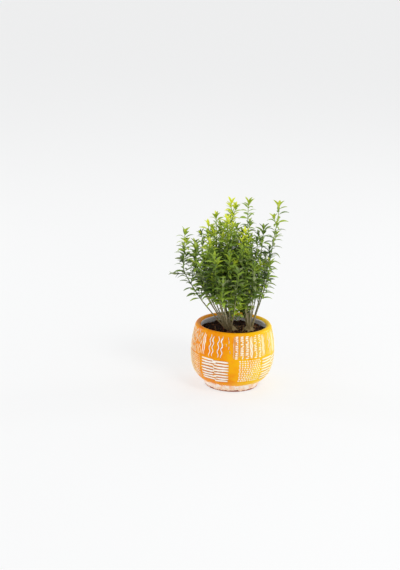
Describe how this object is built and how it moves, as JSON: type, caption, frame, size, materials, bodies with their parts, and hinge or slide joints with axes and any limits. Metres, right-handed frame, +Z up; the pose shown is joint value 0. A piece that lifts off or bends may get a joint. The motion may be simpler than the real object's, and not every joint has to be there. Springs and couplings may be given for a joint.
{
  "type": "potted euonymus shrub",
  "caption": "Small evergreen euonymus shrub, a clump of slim upright leafy shoots on bare stems, growing from woody crowns in a round glazed pot with a painted pattern.",
  "frame": {"origin": "centre of the flat underside of the pot's foot", "axes": "+Z up, the way the shoots grow; -Y towards the front, as pictured; +X to the viewer's right"},
  "size_m": [0.1797, 0.1546, 0.304],
  "materials": {
    "glaze": "gloss",
    "compost": "matte",
    "crown": "matte",
    "stem": "satin",
    "foliage": "satin"
  },
  "bodies": {
    "root": {"crown_left": "crown", "crown_right": "crown", "foliage_back_centre": "foliage", "foliage_back_left": "foliage", "foliage_back_left_outer": "foliage", "foliage_back_right": "foliage", "foliage_back_right_low": "foliage", "foliage_back_right_outer": "foliage", "foliage_back_right_tall": "foliage", "foliage_centre_bright": "foliage", "foliage_far_left": "foliage", "foliage_far_right": "foliage", "foliage_front_centre": "foliage", "foliage_front_left_bright": "foliage", "foliage_front_left_low": "foliage", "foliage_front_left_outer": "foliage", "foliage_front_low_left": "foliage", "foliage_front_low_right": "foliage", "foliage_front_right": "foliage", "foliage_front_right_outer": "foliage", "foliage_left_shoulder": "foliage", "foliage_left_slim": "foliage", "foliage_left_tall": "foliage", "foliage_left_third": "foliage", "foliage_right_bright": "foliage", "foliage_right_inner": "foliage", "foliage_right_low": "foliage", "foliage_right_mid": "foliage", "foliage_top_centre": "foliage", "foliage_top_right": "foliage", "pot": "glaze", "soil": "compost", "stem_back_centre": "stem", "stem_back_left": "stem", "stem_back_left_outer": "stem", "stem_back_right": "stem", "stem_back_right_low": "stem", "stem_back_right_outer": "stem", "stem_back_right_tall": "stem", "stem_centre_bright": "stem", "stem_far_left": "stem", "stem_far_right": "stem", "stem_front_centre": "stem", "stem_front_left_bright": "stem", "stem_front_left_low": "stem", "stem_front_left_outer": "stem", "stem_front_low_left": "stem", "stem_front_low_right": "stem", "stem_front_right": "stem", "stem_front_right_outer": "stem", "stem_left_shoulder": "stem", "stem_left_slim": "stem", "stem_left_tall": "stem", "stem_left_third": "stem", "stem_right_bright": "stem", "stem_right_inner": "stem", "stem_right_low": "stem", "stem_right_mid": "stem", "stem_top_centre": "stem", "stem_top_right": "stem"}
  },
  "joints": []
}
